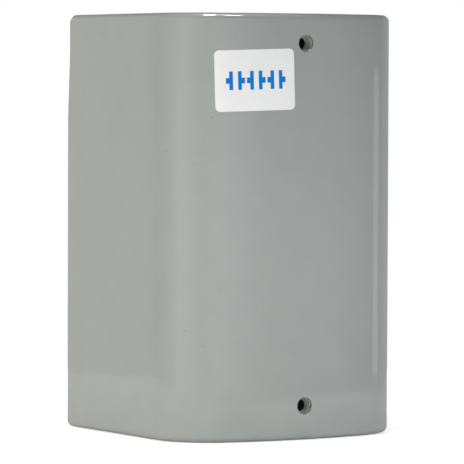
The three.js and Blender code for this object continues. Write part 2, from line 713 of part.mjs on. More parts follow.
function lineToCoilWire() {
  const start = COIL_TERMINALS.upper + 4.2;
  return controlWire([
    [WING.x, 31.2, start],
    [WING.x + 3, 32, start + 6],
    [44, 38, 74],
    [43, 52, 88],
    [34, 66, 95],
    [24, 69, 93],
    [20, 69, 84.2],
  ]);
}

// ---------------------------------------------------------------- assembly
const group = new THREE.Group();
group.name = "magnetic_motor_starter";

function place(name, made, material, parent = group) {
  const mesh = new THREE.Mesh(geometryOf(made), MATERIALS[material].clone());
  mesh.name = name;
  mesh.material.name = material;
  parent.add(mesh);
}

function placeEnclosure() {
  place("enclosure_base", enclosureBase(), "base_enamel");
  place("cover", coverShell(), "grey_enamel");
  place("nameplate_label", nameplate(), "label_film");
  for (const [side, z] of Object.entries(SCREW_Z)) {
    place(`cover_screw_${side}`, slottedScrew(0, z, CUP.floor + GAP, COVER_SCREW), "black_oxide");
    place(`clip_nut_${side}`, clipNut(z), "spring_steel");
  }
  place("mounting_plate", mountingPlate(), "zinc_steel");
  for (const [side, [x, z]] of Object.entries(PLATE_SCREWS)) {
    place(`plate_screw_${side}`, slottedScrew(x, z, PLATE_FRONT + GAP, PLATE_SCREW), "zinc_steel");
  }
  place("ground_screw", groundScrew(), "ground_green");
}

function placeContactor() {
  place("contactor_base", contactorBase(), "black_moulding");
  place("contactor_housing", contactorHousing(), "grey_moulding");
  place("arc_cover", arcCover(), "black_moulding");
  for (const [side, [x, z]] of Object.entries(ARC_SCREWS)) {
    place(`arc_cover_screw_${side}`, slottedScrew(x, z, ARC_COVER.top + GAP, ARC_SCREW), "zinc_steel");
  }
  place("magnet_core", eShape(CORE.pole, CORE.yoke, CORE.back), "laminated_steel");
  place("armature", eShape(ARMATURE.pole, ARMATURE.yoke, ARMATURE.front), "laminated_steel");
  place("coil_bobbin", coilBobbin(), "white_moulding");
  place("coil_winding", coilWinding(), "coil_tape");
  for (const [side, z] of Object.entries(COIL_TERMINALS)) {
    place(`coil_terminal_${side}`, coilTerminal(z), "brass_zinc");
    const springZ = CONTACTOR.mid + (side === "upper" ? 15 : -15);
    const depths = [COIL.front + GAP, ARMATURE.front];
    place(`return_spring_${side}`, coilSpring(0, springZ, 3.2, 0.5, depths, 4), "spring_steel");
  }
  place("contact_carrier", contactCarrier(), "white_moulding");
}

function placePoles() {
  const { mid } = CONTACTOR;
  const springDepths = [BRIDGE.back + BRIDGE.thick + GAP, POST.windowFront - GAP];
  for (const [i, x] of POLES.entries()) {
    const pole = i + 1;
    const outer = mid + SCREW_OUT.contactor;
    const inner = mid - SCREW_OUT.contactor;
    place(`contact_bridge_${pole}`, contactBridge(x), "silver_copper");
    place(`contact_spring_${pole}`, coilSpring(x, mid, 2.5, 0.4, springDepths, 4), "spring_steel");
    place(`line_contact_${pole}`, contactStrip(x, 1), "silver_copper");
    place(`load_contact_${pole}`, contactStrip(x, -1), "silver_copper");
    place(`line_screw_${pole}`, terminalScrew(x, outer, STRIP.back + STRIP.thick, 8), "brass_zinc");
    place(`load_screw_${pole}`, terminalScrew(x, inner, 71.2, 9.5), "brass_zinc");
    place(`heater_element_${pole}`, heaterElement(x), "silver_copper");
    place(`relay_terminal_${pole}`, relayTerminal(x), "silver_copper");
    const face = RELAY.shelf + GAP + STRIP.thick;
    place(`relay_screw_${pole}`, terminalScrew(x, SCREW_OUT.relay, face, 8), "brass_zinc");
  }
}

function placeRelay() {
  place("relay_base", relayBase(), "black_moulding");
  place("relay_cover", relayCover(), "grey_moulding");
  place("trip_bar", tripBar(), "white_moulding");
  place("reset_button", resetButton(), "reset_blue");
  const depths = [66.3, RELAY.front - RELAY.wall - GAP - 2.3];
  place("reset_spring", coilSpring(RESET.x, RESET.z, 4, 0.45, depths, 4), "spring_steel");
  place("current_dial", currentDial(), "white_moulding");
  place("control_wire_relay", coilToRelayWire(), "wire_red");
  place("control_wire_line", lineToCoilWire(), "wire_red");
}

placeEnclosure();
placeContactor();
placePoles();
placeRelay();

export default group;
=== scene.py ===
"""Looks of the magnetic motor starter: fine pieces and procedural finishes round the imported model.

Lengths are metres in the row frame: x to the right, -y towards the viewer, z up, wall at y = 0.
"""

import json
import math

import bmesh
import bpy
from mathutils import Matrix, Vector

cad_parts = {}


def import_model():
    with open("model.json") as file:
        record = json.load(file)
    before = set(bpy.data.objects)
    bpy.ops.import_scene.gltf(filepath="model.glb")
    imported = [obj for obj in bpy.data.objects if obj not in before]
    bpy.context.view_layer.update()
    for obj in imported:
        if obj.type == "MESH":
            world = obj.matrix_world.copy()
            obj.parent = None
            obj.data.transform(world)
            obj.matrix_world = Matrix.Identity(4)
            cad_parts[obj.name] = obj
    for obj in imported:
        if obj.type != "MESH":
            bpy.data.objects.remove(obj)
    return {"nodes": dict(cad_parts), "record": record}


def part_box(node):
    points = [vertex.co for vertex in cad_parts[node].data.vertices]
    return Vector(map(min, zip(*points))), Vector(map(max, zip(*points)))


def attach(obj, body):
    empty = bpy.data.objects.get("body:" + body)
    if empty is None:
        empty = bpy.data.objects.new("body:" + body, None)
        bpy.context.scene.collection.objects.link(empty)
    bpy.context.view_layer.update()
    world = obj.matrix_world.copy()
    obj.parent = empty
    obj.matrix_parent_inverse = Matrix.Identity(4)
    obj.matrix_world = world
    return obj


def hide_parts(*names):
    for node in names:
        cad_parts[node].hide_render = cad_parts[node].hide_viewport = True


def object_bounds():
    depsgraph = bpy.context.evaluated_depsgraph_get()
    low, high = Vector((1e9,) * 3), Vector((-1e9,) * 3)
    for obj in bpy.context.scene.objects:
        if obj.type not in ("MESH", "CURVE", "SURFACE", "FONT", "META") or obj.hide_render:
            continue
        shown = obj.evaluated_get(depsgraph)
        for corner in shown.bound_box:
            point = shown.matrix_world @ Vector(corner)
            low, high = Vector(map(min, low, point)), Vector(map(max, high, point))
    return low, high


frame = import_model()
cad_low, cad_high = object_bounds()

MM = 0.001

# ---------------------------------------------------------------- sizes of the pieces
cover_low, cover_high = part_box("cover")
HALF_W = round(cover_high.x, 4)
HALF_H = round(cover_high.z, 4)
DEPTH = round(-cover_low.y, 4)
CORNER_R = 43 * MM
FRONT_R = 250 * MM
EDGE_R = 4.5 * MM
SHEET = 1.5 * MM
RIM = 14 * MM
REAR = 1 * MM
RELIEF_Z = 72 * MM  # above this the rear edge slants forward
RELIEF = 4.4 * MM
CUP_R = 5.35 * MM
CUP_ROLL = 0.8 * MM  # radius of the drawn edge round a recess
CUP_FLOOR = 157 * MM
CUP_HOLE = 2.6 * MM
PATCH = 9 * MM  # half side of the square that each drawn recess replaces
PATCH_CELLS = 12
SCREW_Z = {name: sum(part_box(name), Vector()).z / 2 for name in ("cover_screw_upper", "cover_screw_lower")}
BACKED_OUT = {"cover_screw_upper": 0.8 * MM, "cover_screw_lower": 2.0 * MM}
TILT = 0.03  # the nameplate is stuck on slightly askew
PLATE = {"s": -37.9 * MM, "z": 98.3 * MM, "half_u": 28.7 * MM, "half_v": 20.4 * MM, "r": 3.5 * MM}
FILM = {"under": 0.02 * MM, "face": 0.3 * MM, "ink": 0.34 * MM}  # lifts off the cover
# contact symbols, in millimetres: centres, half gap, bar width, half span, half height, half lead height
GLYPH = {"centres": (-14.5, 0.3, 15.1), "gap": 1.8, "bar": 2.6, "span": 6.7, "tall": 6.2, "stroke": 1.9}
SCREW = {"shank": 13.8 * MM, "r": 2.1 * MM, "pitch": 0.8 * MM, "head_r": 4.0 * MM, "head": 2.2 * MM,
         "slot_half": 0.5 * MM, "slot": 1.1 * MM, "gap": 0.3 * MM}
CUP_LINER = {"sheet": 0.15 * MM, "gap": 0.03 * MM, "lift": 0.05 * MM, "corner": 1.4 * MM, "below_rim": 1 * MM}
SHEET_METAL = ("enclosure_base", "mounting_plate", "clip_nut_upper", "clip_nut_lower")
SHEET_EDGE = 0.25 * MM
BLOCK_EDGE = 0.4 * MM

# ---------------------------------------------------------------- studio
LENS = 293  # mm, on a sensor 36 mm wide
CAMERA_AT = (-1.357, -2.3, 0.099)
CAMERA_AZIMUTH = math.radians(31.35)
CAMERA_PITCH = math.radians(2.32)
CAMERA_ROLL = math.radians(0.205)
AIM = Vector((0, -0.08, 0))  # what the soft boxes point at
FLOOR_REACH = 0.52
FLOOR_GLOW = 0.5
AMBIENT = 0.15
WHITE = (1, 1, 1)
WARM = (1.06, 1, 0.93)
COOL = (0.97, 1, 1.02)
# a ring of tall soft boxes, each fading into the next: azimuth in degrees and radiance
RING = {
    -160: 0.4, -140: 0.3, -120: 0.3, -100: 0.3, -80: 0.05, -60: 0, -40: 0.34, -20: 0.25, 0: 1.05,
    20: 0.83, 40: 0.37, 60: 0.63, 80: 0.69, 100: 0.05, 120: 0, 140: 0.05, 160: 0.43, 180: 7,
}
RING_STEP = math.radians(20)
RING_DISTANCE = 2.0
RING_HEIGHT = 1.6
WARM_FROM = 90  # azimuth beyond which the ring is warm
# soft boxes that are only mirrored: azimuth, elevation, distance, width, height, radiance, colour
MIRRORED = {
    "overhead_left": (30, 76, 1.5, 0.3, 0.3, 80, WHITE),
    "overhead_right": (-30, 69.5, 1.5, 0.08, 0.3, 80, WHITE),
    "ceiling": (0, 90, 1.9, 2.4, 2.4, 0.75, WHITE),
    "edge_strip": (-72, -2, 2.0, 0.5, 0.36, 0.9, WARM),
}
# the same for soft boxes that light the object without being mirrored in its paint
UNMIRRORED = {
    "top": (20, 88, 1.6, 2.2, 2.2, 0.9, WHITE),
    "bounce": (-8, -9, 0.42, 0.8, 0.1, 2.9, WHITE),
    "fill_front": (0, 8, 2.2, 1.6, 1.2, 0.4, WHITE),
    "fill_left": (90, 8, 2.2, 1.6, 1.2, 5.3, WARM),
}

# ---------------------------------------------------------------- mesh helpers


def mesh_object(name, verts, faces, smooth_angle=35.0):
    """A mesh object with smooth shading that breaks at edges sharper than smooth_angle."""
    mesh = bpy.data.meshes.new(name)
    mesh.from_pydata([tuple(v) for v in verts], [], faces)
    mesh.validate()
    bm = bmesh.new()
    bm.from_mesh(mesh)
    bmesh.ops.recalc_face_normals(bm, faces=bm.faces)
    bm.to_mesh(mesh)
    bm.free()
    mesh.shade_smooth()
    mesh.set_sharp_from_angle(angle=math.radians(smooth_angle))
    obj = bpy.data.objects.new(name, mesh)
    bpy.context.scene.collection.objects.link(obj)
    return obj


def baked(obj):
    """Applies obj's modifiers to its mesh."""
    graph = bpy.context.evaluated_depsgraph_get()
    made = bpy.data.meshes.new_from_object(obj.evaluated_get(graph))
    obj.modifiers.clear()
    obj.data = made
    return obj


def carve(obj, cutter):
    """Cuts one mesh out of another."""
    bpy.context.view_layer.update()
    cut = obj.modifiers.new("cut", "BOOLEAN")
    cut.operation = "DIFFERENCE"
    cut.solver = "EXACT"
    cut.object = cutter
    baked(obj)
    bpy.data.objects.remove(cutter)
    return obj


def bevel(obj, width, segments=2, angle=35.0):
    """Rounds the sharp edges of obj."""
    soft = obj.modifiers.new("soft_edges", "BEVEL")
    soft.width = width
    soft.segments = segments
    soft.limit_method = "ANGLE"
    soft.angle_limit = math.radians(angle)
    soft.harden_normals = True
    soft.use_clamp_overlap = True
    return obj


def box(name, low, high):
    """A block between two corners."""
    verts = [(x, y, z) for x in (low[0], high[0]) for y in (low[1], high[1]) for z in (low[2], high[2])]
    faces = [(0, 1, 3, 2), (4, 6, 7, 5), (0, 4, 5, 1), (2, 3, 7, 6), (0, 2, 6, 4), (1, 5, 7, 3)]
    return mesh_object(name, verts, faces)


def spread(start, end, steps):
    """steps + 1 even values from start to end."""
    return [start + (end - start) * k / steps for k in range(steps + 1)]


# ---------------------------------------------------------------- cover


CORNER_X = HALF_W - CORNER_R
FRONT_Y = FRONT_R - DEPTH
REACH = FRONT_R - CORNER_R
CORNER_Y = FRONT_Y - math.sqrt(REACH**2 - CORNER_X**2)
TURN = math.asin(CORNER_X / REACH)


def stations():
    """Points and outward normals along the cover seen from above, left rear edge to right rear edge."""
    row = []
    for y in spread(-REAR, CORNER_Y, 10):
        row.append((Vector((-HALF_W, y)), Vector((-1, 0))))
    for k in range(1, 31):
        angle = math.pi + (math.pi / 2 - TURN) * k / 30
        out = Vector((math.cos(angle), math.sin(angle)))
        row.append((Vector((-CORNER_X, CORNER_Y)) + CORNER_R * out, out))
    edge = FRONT_R * math.sin(TURN)
    xs = spread(-edge, -PATCH, 21)[1:] + spread(-PATCH, PATCH, PATCH_CELLS)[1:]
    for x in xs:
        row.append(front_point(x))
    left = [(point, out) for point, out in row if point.x < -1e-9]
    middle = [front_point(0.0)]
    right = [(Vector((-point.x, point.y)), Vector((-out.x, out.y))) for point, out in reversed(left)]
    return left + middle + right


def front_point(x):
    """Point and normal of the bowed front at x."""
    out = Vector((x / FRONT_R, -math.sqrt(1 - (x / FRONT_R) ** 2)))
    return Vector((0, FRONT_Y)) + FRONT_R * out, out


def fillet(inset, z, r, steps):
    """Rows of (inset, z) round a top edge, from the rim to the wall."""
    rows = []
    for k in range(steps + 1):
        turn = math.pi / 2 * k / steps
        rows.append((inset + r - r * math.sin(turn), z - (r - r * math.cos(turn))))
    return rows


def wall_rows():
    """Heights of the rows up the cover's wall, with fine rows at the two recesses."""
    bottom = -HALF_H + EDGE_R
    lower = SCREW_Z["cover_screw_lower"]
    upper = SCREW_Z["cover_screw_upper"]
    heights = spread(bottom, lower - PATCH, 3)
    heights += spread(lower - PATCH, lower + PATCH, PATCH_CELLS)[1:]
    heights += spread(lower + PATCH, upper - PATCH, 30)[1:]
    heights += spread(upper - PATCH, upper + PATCH, PATCH_CELLS)[1:]
    heights += spread(upper + PATCH, -bottom, 3)[1:]
    return heights


def skin_rows(inset, half, r):
    """(inset, z) rows of one skin, from the bottom rim's edge over the wall to the top rim's edge."""
    rows = []
    for x in spread(RIM, inset + r, 4)[:-1]:
        rows.append((x, -half))
    edge = fillet(inset, half, r, 8)
    rows += [(i, -z) for i, z in edge][:-1]
    rows += [(inset, z) for z in wall_rows()]
    rows += list(reversed(edge))[1:]
    for x in spread(inset + r, RIM, 4)[1:]:
        rows.append((x, half))
    return rows


def rear_edge(z):
    """y of the cover's rear edge at a height."""
    return -REAR - RELIEF * max(0, z - RELIEF_Z) / (HALF_H + 1 * MM - RELIEF_Z)


def recess_rings(skin):
    """(radius, depth or None) rings of a drawn recess, from the panel inwards; None follows the panel."""
    if skin == "outer":
        rings = [(CUP_R + 2.6 * MM, None), (CUP_R + CUP_ROLL + 0.2 * MM, None)]
        for k in range(1, 6):
            turn = math.pi / 2 * k / 5
            sink = CUP_ROLL * (1 - math.cos(turn))
            rings.append((CUP_R + CUP_ROLL * (1 - math.sin(turn)), sink))
        return rings, [(CUP_R, CUP_FLOOR + 0.8 * MM), (CUP_R - 0.25 * MM, CUP_FLOOR + 0.25 * MM),
                       (CUP_R - 0.8 * MM, CUP_FLOOR), (CUP_HOLE, CUP_FLOOR)]
    rings = [(CUP_R + SHEET + 1.2 * MM, None), (CUP_R + SHEET + 0.4 * MM, 0.1 * MM)]
    low = CUP_FLOOR - SHEET
    return rings, [(CUP_R + SHEET, low + 1.6 * MM), (CUP_R + SHEET - 0.5 * MM, low + 0.5 * MM),
                   (CUP_R + SHEET - 1.6 * MM, low), (CUP_HOLE, low)]


def build_cover():
    """The drawn sheet: two skins joined at the rims and rear edges, with a round recess for each screw."""
    across = stations()
    outer = skin_rows(0, HALF_H, EDGE_R)
    inner = skin_rows(SHEET, HALF_H - SHEET, EDGE_R - SHEET)
    verts = []
    faces = []
    grids = {}
    for skin, rows in (("outer", outer), ("inner", inner)):
        grid = []
        for inset, z in rows:
            line = []
            for point, out in across:
                at = point - inset * out
                line.append(len(verts))
                verts.append((at.x, min(at.y, rear_edge(z)), z))
            grid.append(line)
        grids[skin] = grid
    middle = len(across) // 2
    half = PATCH_CELLS // 2
    holes = {}
    for name, z0 in SCREW_Z.items():
        row = min(range(len(outer)), key=lambda k: abs(outer[k][1] - z0) + abs(outer[k][0]))
        holes[name] = row
    for skin, grid in grids.items():
        for r in range(len(grid) - 1):
            for c in range(len(across) - 1):
                inside = middle - half <= c < middle + half
                if inside and any(row - half <= r < row + half for row in holes.values()):
                    continue
                faces.append((grid[r][c], grid[r][c + 1], grid[r + 1][c + 1], grid[r + 1][c]))
    last = len(across) - 1
    for r in range(len(outer) - 1):
        for c in (0, last):
            faces.append((grids["outer"][r][c], grids["outer"][r + 1][c],
                          grids["inner"][r + 1][c], grids["inner"][r][c]))
    for r in (0, len(outer) - 1):
        for c in range(last):
            faces.append((grids["outer"][r][c], grids["outer"][r][c + 1],
                          grids["inner"][r][c + 1], grids["inner"][r][c]))
    for name, row in holes.items():
        ends = []
        for skin, grid in grids.items():
            ends.append(add_recess(verts, faces, grid, skin, row, middle, half, SCREW_Z[name]))
        count = len(ends[0])
        for k in range(count):
            n = (k + 1) % count
            faces.append((ends[0][k], ends[0][n], ends[1][n], ends[1][k]))
    return mesh_object("cover_shell", verts, faces, 50)


def add_recess(verts, faces, grid, skin, row, middle, half, z0):
    """Fills one square of a skin with the rings of a recess, and returns its innermost ring."""
    border = [grid[row - half][c] for c in range(middle - half, middle + half)]
    border += [grid[r][middle + half] for r in range(row - half, row + half)]
    border += [grid[row + half][c] for c in range(middle + half, middle - half, -1)]
    border += [grid[r][middle - half] for r in range(row + half, row - half, -1)]
    inset = 0 if skin == "outer" else SHEET
    count = len(border)
    turns = [math.atan2(verts[b][2] - z0, verts[b][0]) for b in border]
    surface_rings, deep_rings = recess_rings(skin)
    previous = border
    for r, sink in surface_rings + deep_rings:
        ring = []
        deep = (r, sink) in deep_rings
        for k in range(count):
            even = -3 * math.pi / 4 + 2 * math.pi * k / count
            turn = even if deep or r < CUP_R + 2 * MM else (even + turns[k]) / 2
            if turn - turns[k] > math.pi:
                turn = even
            x = r * math.cos(even)
            z = z0 + r * math.sin(even)
            panel, _ = front_point(x)
            y = -sink if deep else panel.y + inset + (sink or 0)
            ring.append(len(verts))
            verts.append((x, y, z))
        for k in range(count):
            n = (k + 1) % count
            faces.append((previous[k], previous[n], ring[n], ring[k]))
        previous = ring
    return previous


# ---------------------------------------------------------------- nameplate


def along_front(s):
    """Point and normal of the cover at an arc length s from the middle of the front, towards the right."""
    reach = FRONT_R * TURN
    side = 1 if s >= 0 else -1
    run = abs(s)
    if run <= reach:
        angle = run / FRONT_R
        out = Vector((math.sin(angle) * side, -math.cos(angle)))
        return Vector((0, FRONT_Y)) + FRONT_R * out, out
    angle = TURN + (run - reach) / CORNER_R
    out = Vector((math.sin(angle) * side, -math.cos(angle)))
    return Vector((side * CORNER_X, CORNER_Y)) + CORNER_R * out, out


def on_label(u, v, lift):
    """A point of the nameplate at (u, v) from its centre, lifted off the cover."""
    s = PLATE["s"] + u * math.cos(TILT) - v * math.sin(TILT)
    z = PLATE["z"] + u * math.sin(TILT) + v * math.cos(TILT)
    point, out = along_front(s)
    at = point + lift * out
    return (at.x, at.y, z)


def wrapped_sheet(rows, low, high):
    """A thin sheet over (u, v) rows, each row a list of points; it follows the cover between two lifts."""
    verts = []
    faces = []
    for lift in (high, low):
        for row in rows:
            verts += [on_label(u, v, lift) for u, v in row]
    wide = len(rows[0])
    tall = len(rows)
    skin = wide * tall
    for r in range(tall - 1):
        for c in range(wide - 1):
            a = r * wide + c
            faces.append((a, a + 1, a + wide + 1, a + wide))
            faces.append((skin + a, skin + a + wide, skin + a + wide + 1, skin + a + 1))
    rim = list(range(wide))
    rim += [r * wide + wide - 1 for r in range(1, tall)]
    rim += [(tall - 1) * wide + c for c in range(wide - 2, -1, -1)]
    rim += [r * wide for r in range(tall - 2, 0, -1)]
    for a, b in zip(rim, rim[1:] + rim[:1]):
        faces.append((a, skin + a, skin + b, b))
    return verts, faces


def build_label():
    """White film with round corners."""
    half_u, half_v, r = PLATE["half_u"], PLATE["half_v"], PLATE["r"]
    heights = []
    for k in range(9):
        heights.append(half_v - r + r * math.sin(math.pi / 2 * k / 8))
    heights = [-h for h in reversed(heights)] + spread(-(half_v - r), half_v - r, 12)[1:-1] + heights
    rows = []
    for v in heights:
        over = max(0, abs(v) - (half_v - r))
        reach = half_u - r + math.sqrt(max(0, r * r - over * over))
        rows.append([(u, v) for u in spread(-reach, reach, 40)])
    verts, faces = wrapped_sheet(rows, FILM["under"], FILM["face"])
    return mesh_object("nameplate_film", verts, faces, 40)


def glyph_bars():
    """Rectangles (u0, u1, v0, v1) of a row of open contact symbols, in millimetres."""
    bars = []
    tall = GLYPH["tall"]
    stroke = GLYPH["stroke"]
    for centre in GLYPH["centres"]:
        for hand in (-1, 1):
            inner = centre + hand * GLYPH["gap"]
            outer = inner + hand * GLYPH["bar"]
            end = centre + hand * GLYPH["span"]
            bars.append((min(inner, outer), max(inner, outer), -tall, tall))
            bars.append((min(outer, end), max(outer, end), -stroke, stroke))
    return bars


def build_glyphs():
    """Blue open-contact symbols printed on the film, one for each pole."""
    verts = []
    faces = []
    for u0, u1, v0, v1 in glyph_bars():
        rows = [[(u * MM, v * MM) for u in spread(u0, u1, 6)] for v in spread(v0, v1, 4)]
        more_verts, more_faces = wrapped_sheet(rows, FILM["face"], FILM["ink"])
        start = len(verts)
        verts += more_verts
        faces += [tuple(start + k for k in face) for face in more_faces]
    return mesh_object("nameplate_glyphs", verts, faces)


# ---------------------------------------------------------------- screws


def turned_ring(verts, r, depth, z, sides):
    """Adds a ring round the depth-wise axis at height z, and returns its indices; r may be a function."""
    ring = []
    for k in range(sides):
        turn = 2 * math.pi * k / sides
        radius = r(k / sides) if callable(r) else r
        ring.append(len(verts))
        verts.append((radius * math.cos(turn), -depth, z + radius * math.sin(turn)))
    return ring


def thread_radius(depth, tip, seat, part):
    """Radius of the thread at a depth and a part of a turn; it fades out at the tip and under the head."""
    pitch = SCREW["pitch"]
    groove = 0.3 * pitch
    fade = min(1, (depth - tip) / (1.5 * pitch)) * min(1, (seat - depth) / (0.6 * pitch))
    phase = (depth / pitch + part) % 1
    crest = 1 - abs(2 * phase - 1)
    taper = 0.75 + 0.25 * min(1, (depth - tip) / (1.2 * pitch))
    return (SCREW["r"] - groove + groove * crest * fade) * taper


def threaded_screw(name, z, tip, seat, head):
    """A screw along the depth direction: a real helical thread up to the seat and a turned, slotted head."""
    sides = 24
    per_turn = 8
    steps = int((seat - tip) / SCREW["pitch"] * per_turn)
    verts = []
    faces = []
    rings = []
    for depth in spread(tip, seat, steps):
        rings.append(turned_ring(verts, lambda part: thread_radius(depth, tip, seat, part), depth, z, sides))
    for r, depth in head:
        rings.append(turned_ring(verts, r, depth, z, sides))
    for a, b in zip(rings, rings[1:]):
        for k in range(sides):
            n = (k + 1) % sides
            faces.append((a[k], a[n], b[n], b[k]))
    faces.append(tuple(reversed(rings[0])))
    faces.append(tuple(rings[-1]))
    obj = mesh_object(name, verts, faces)
    top = max(depth for _, depth in head)
    half = SCREW["slot_half"]
    past = 10 * MM
    carve(obj, box("slot", (-2 * past, -top - past, z - half), (2 * past, -top + SCREW["slot"], z + half)))
    obj.data.shade_smooth()
    obj.data.set_sharp_from_angle(angle=math.radians(40))
    return obj


def pan_head(r, seat, tall):
    """(radius, depth) rings of a pan head, from its seat to its flat crown."""
    rings = [(r * 0.96, seat), (r, seat + 0.06 * tall), (r, seat + 0.35 * tall)]
    for k in range(1, 7):
        turn = math.pi / 2 * k / 6
        rings.append((r * (0.42 + 0.58 * math.cos(turn)), seat + tall * (0.35 + 0.65 * math.sin(turn))))
    return rings


def build_cover_screws():
    """Slotted pan-head screws at the bottom of the recesses."""
    made = []
    for name, z in SCREW_Z.items():
        seat = CUP_FLOOR + SCREW["gap"] + BACKED_OUT[name]
        head = pan_head(SCREW["head_r"], seat, SCREW["head"])
        made.append((threaded_screw(f"{name}_fine", z, seat - SCREW["shank"], seat, head), name))
    return made


def liner_profile():
    """(radius, depth) of a recess liner's closed section, up its outside and back down its inside."""
    outer = CUP_R - CUP_LINER["gap"]
    sheet = CUP_LINER["sheet"]
    corner = CUP_LINER["corner"]
    floor_at = CUP_FLOOR + CUP_LINER["lift"]
    rim = DEPTH - CUP_LINER["below_rim"]
    outside = []
    inside = []
    for k in range(9):
        turn = math.pi / 2 * k / 8
        for path, r in ((outside, corner), (inside, corner - sheet)):
            path.append((outer - corner + r * math.sin(turn), floor_at + corner - r * math.cos(turn)))
    profile = [(CUP_HOLE, floor_at), *outside, (outer, rim), (outer - sheet, rim)]
    return profile + [*reversed(inside), (CUP_HOLE, floor_at + sheet)]


def build_liner(name, z):
    """A thin pressed cup of zinc-plated steel that lines a recess, with a round corner above its floor."""
    sides = 64
    verts = []
    faces = []
    rings = [turned_ring(verts, r, depth, z, sides) for r, depth in liner_profile()]
    for a, b in zip(rings, rings[1:] + rings[:1]):
        for k in range(sides):
            n = (k + 1) % sides
            faces.append((a[k], a[n], b[n], b[k]))
    return mesh_object(name, verts, faces)


# ---------------------------------------------------------------- materials


def start_material(name):
    """A new material with its node tree, shader and texture coordinates."""
    mat = bpy.data.materials.new(name)
    mat.use_nodes = True
    tree = mat.node_tree
    shader = tree.nodes["Principled BSDF"]
    coords = tree.nodes.new("ShaderNodeTexCoord")
    return mat, tree, shader, coords


def noise(tree, coords, scale, detail=3.0, rough=0.5, stretch=None):
    """A noise texture in object space; stretch squeezes it along an axis."""
    tex = tree.nodes.new("ShaderNodeTexNoise")
    tex.inputs["Scale"].default_value = scale
    tex.inputs["Detail"].default_value = detail
    tex.inputs["Roughness"].default_value = rough
    if stretch:
        mapping = tree.nodes.new("ShaderNodeMapping")
        mapping.inputs["Scale"].default_value = stretch
        tree.links.new(coords.outputs["Object"], mapping.inputs["Vector"])
        tree.links.new(mapping.outputs["Vector"], tex.inputs["Vector"])
    else:
        tree.links.new(coords.outputs["Object"], tex.inputs["Vector"])
    return tex


def ramp(tree, source, stops):
    """A colour ramp from a texture's factor; stops are (position, colour)."""
    node = tree.nodes.new("ShaderNodeValToRGB")
    node.color_ramp.interpolation = "EASE"
    elements = node.color_ramp.elements
    elements[0].position, elements[0].color = stops[0][0], (*stops[0][1], 1)
    elements[1].position, elements[1].color = stops[-1][0], (*stops[-1][1], 1)
    for place, colour in stops[1:-1]:
        element = elements.new(place)
        element.color = (*colour, 1)
    tree.links.new(source, node.inputs["Fac"])
    return node.outputs["Color"]


def spread_value(tree, source, low, high):
    """Maps a 0 to 1 texture onto low to high."""
    node = tree.nodes.new("ShaderNodeMapRange")
    node.interpolation_type = "SMOOTHSTEP"
    node.inputs["From Min"].default_value = 0.2
    node.inputs["From Max"].default_value = 0.8
    node.inputs["To Min"].default_value = low
    node.inputs["To Max"].default_value = high
    tree.links.new(source, node.inputs["Value"])
    return node.outputs["Result"]


def value_math(tree, operation, first, second):
    """One sum on two numbers, the second of which is a plain value."""
    node = tree.nodes.new("ShaderNodeMath")
    node.operation = operation
    tree.links.new(first, node.inputs[0])
    node.inputs[1].default_value = second
    return node.outputs["Value"]


def uneven_gloss(tree, shader, source, low, high):
    """Lets a texture vary the shader's roughness between low and high."""
    tree.links.new(spread_value(tree, source, low, high), shader.inputs["Roughness"])


def bump(tree, source, distance, strength=1.0, under=None):
    """A bump from a height texture, on top of another bump if given."""
    node = tree.nodes.new("ShaderNodeBump")
    node.inputs["Distance"].default_value = distance
    node.inputs["Strength"].default_value = strength
    tree.links.new(source, node.inputs["Height"])
    if under:
        tree.links.new(under, node.inputs["Normal"])
    return node.outputs["Normal"]


def shade(colour, amount):
    """The colour, lighter or darker."""
    return tuple(max(0, c * amount) for c in colour)


def near_axis(tree, coords, z0, near, far):
    """1 within "near" of the depth-wise axis at height z0, falling to 0 at "far"."""
    offset = tree.nodes.new("ShaderNodeVectorMath")
    offset.operation = "SUBTRACT"
    offset.inputs[1].default_value = (0, 0, z0)
    flat = tree.nodes.new("ShaderNodeVectorMath")
    flat.operation = "MULTIPLY"
    flat.inputs[1].default_value = (1, 0, 1)
    length = tree.nodes.new("ShaderNodeVectorMath")
    length.operation = "LENGTH"
    reach = tree.nodes.new("ShaderNodeMapRange")
    reach.inputs["From Min"].default_value = near
    reach.inputs["From Max"].default_value = far
    reach.inputs["To Min"].default_value = 1
    reach.inputs["To Max"].default_value = 0
    tree.links.new(coords.outputs["Object"], offset.inputs[0])
    tree.links.new(offset.outputs["Vector"], flat.inputs[0])
    tree.links.new(flat.outputs["Vector"], length.inputs[0])
    tree.links.new(length.outputs["Value"], reach.inputs["Value"])
    return reach.outputs["Result"]


def mixed(tree, factor, first, second):
    """The first colour where factor is 0 and the second where it is 1; each is a socket or a colour."""
    mix = tree.nodes.new("ShaderNodeMix")
    mix.data_type = "RGBA"
    tree.links.new(factor, mix.inputs[0])
    for place, value in ((6, first), (7, second)):
        if isinstance(value, tuple):
            mix.inputs[place].default_value = (*value, 1)
        else:
            tree.links.new(value, mix.inputs[place])
    return mix.outputs[2]


def speckle(tree, coords, scale, low, high):
    """Sparse specks: 1 where a fine noise rises above high."""
    specks = noise(tree, coords, scale, 0)
    mask = tree.nodes.new("ShaderNodeMapRange")
    mask.inputs["From Min"].default_value = low
    mask.inputs["From Max"].default_value = high
    tree.links.new(specks.outputs["Fac"], mask.inputs["Value"])
    return mask.outputs["Result"]


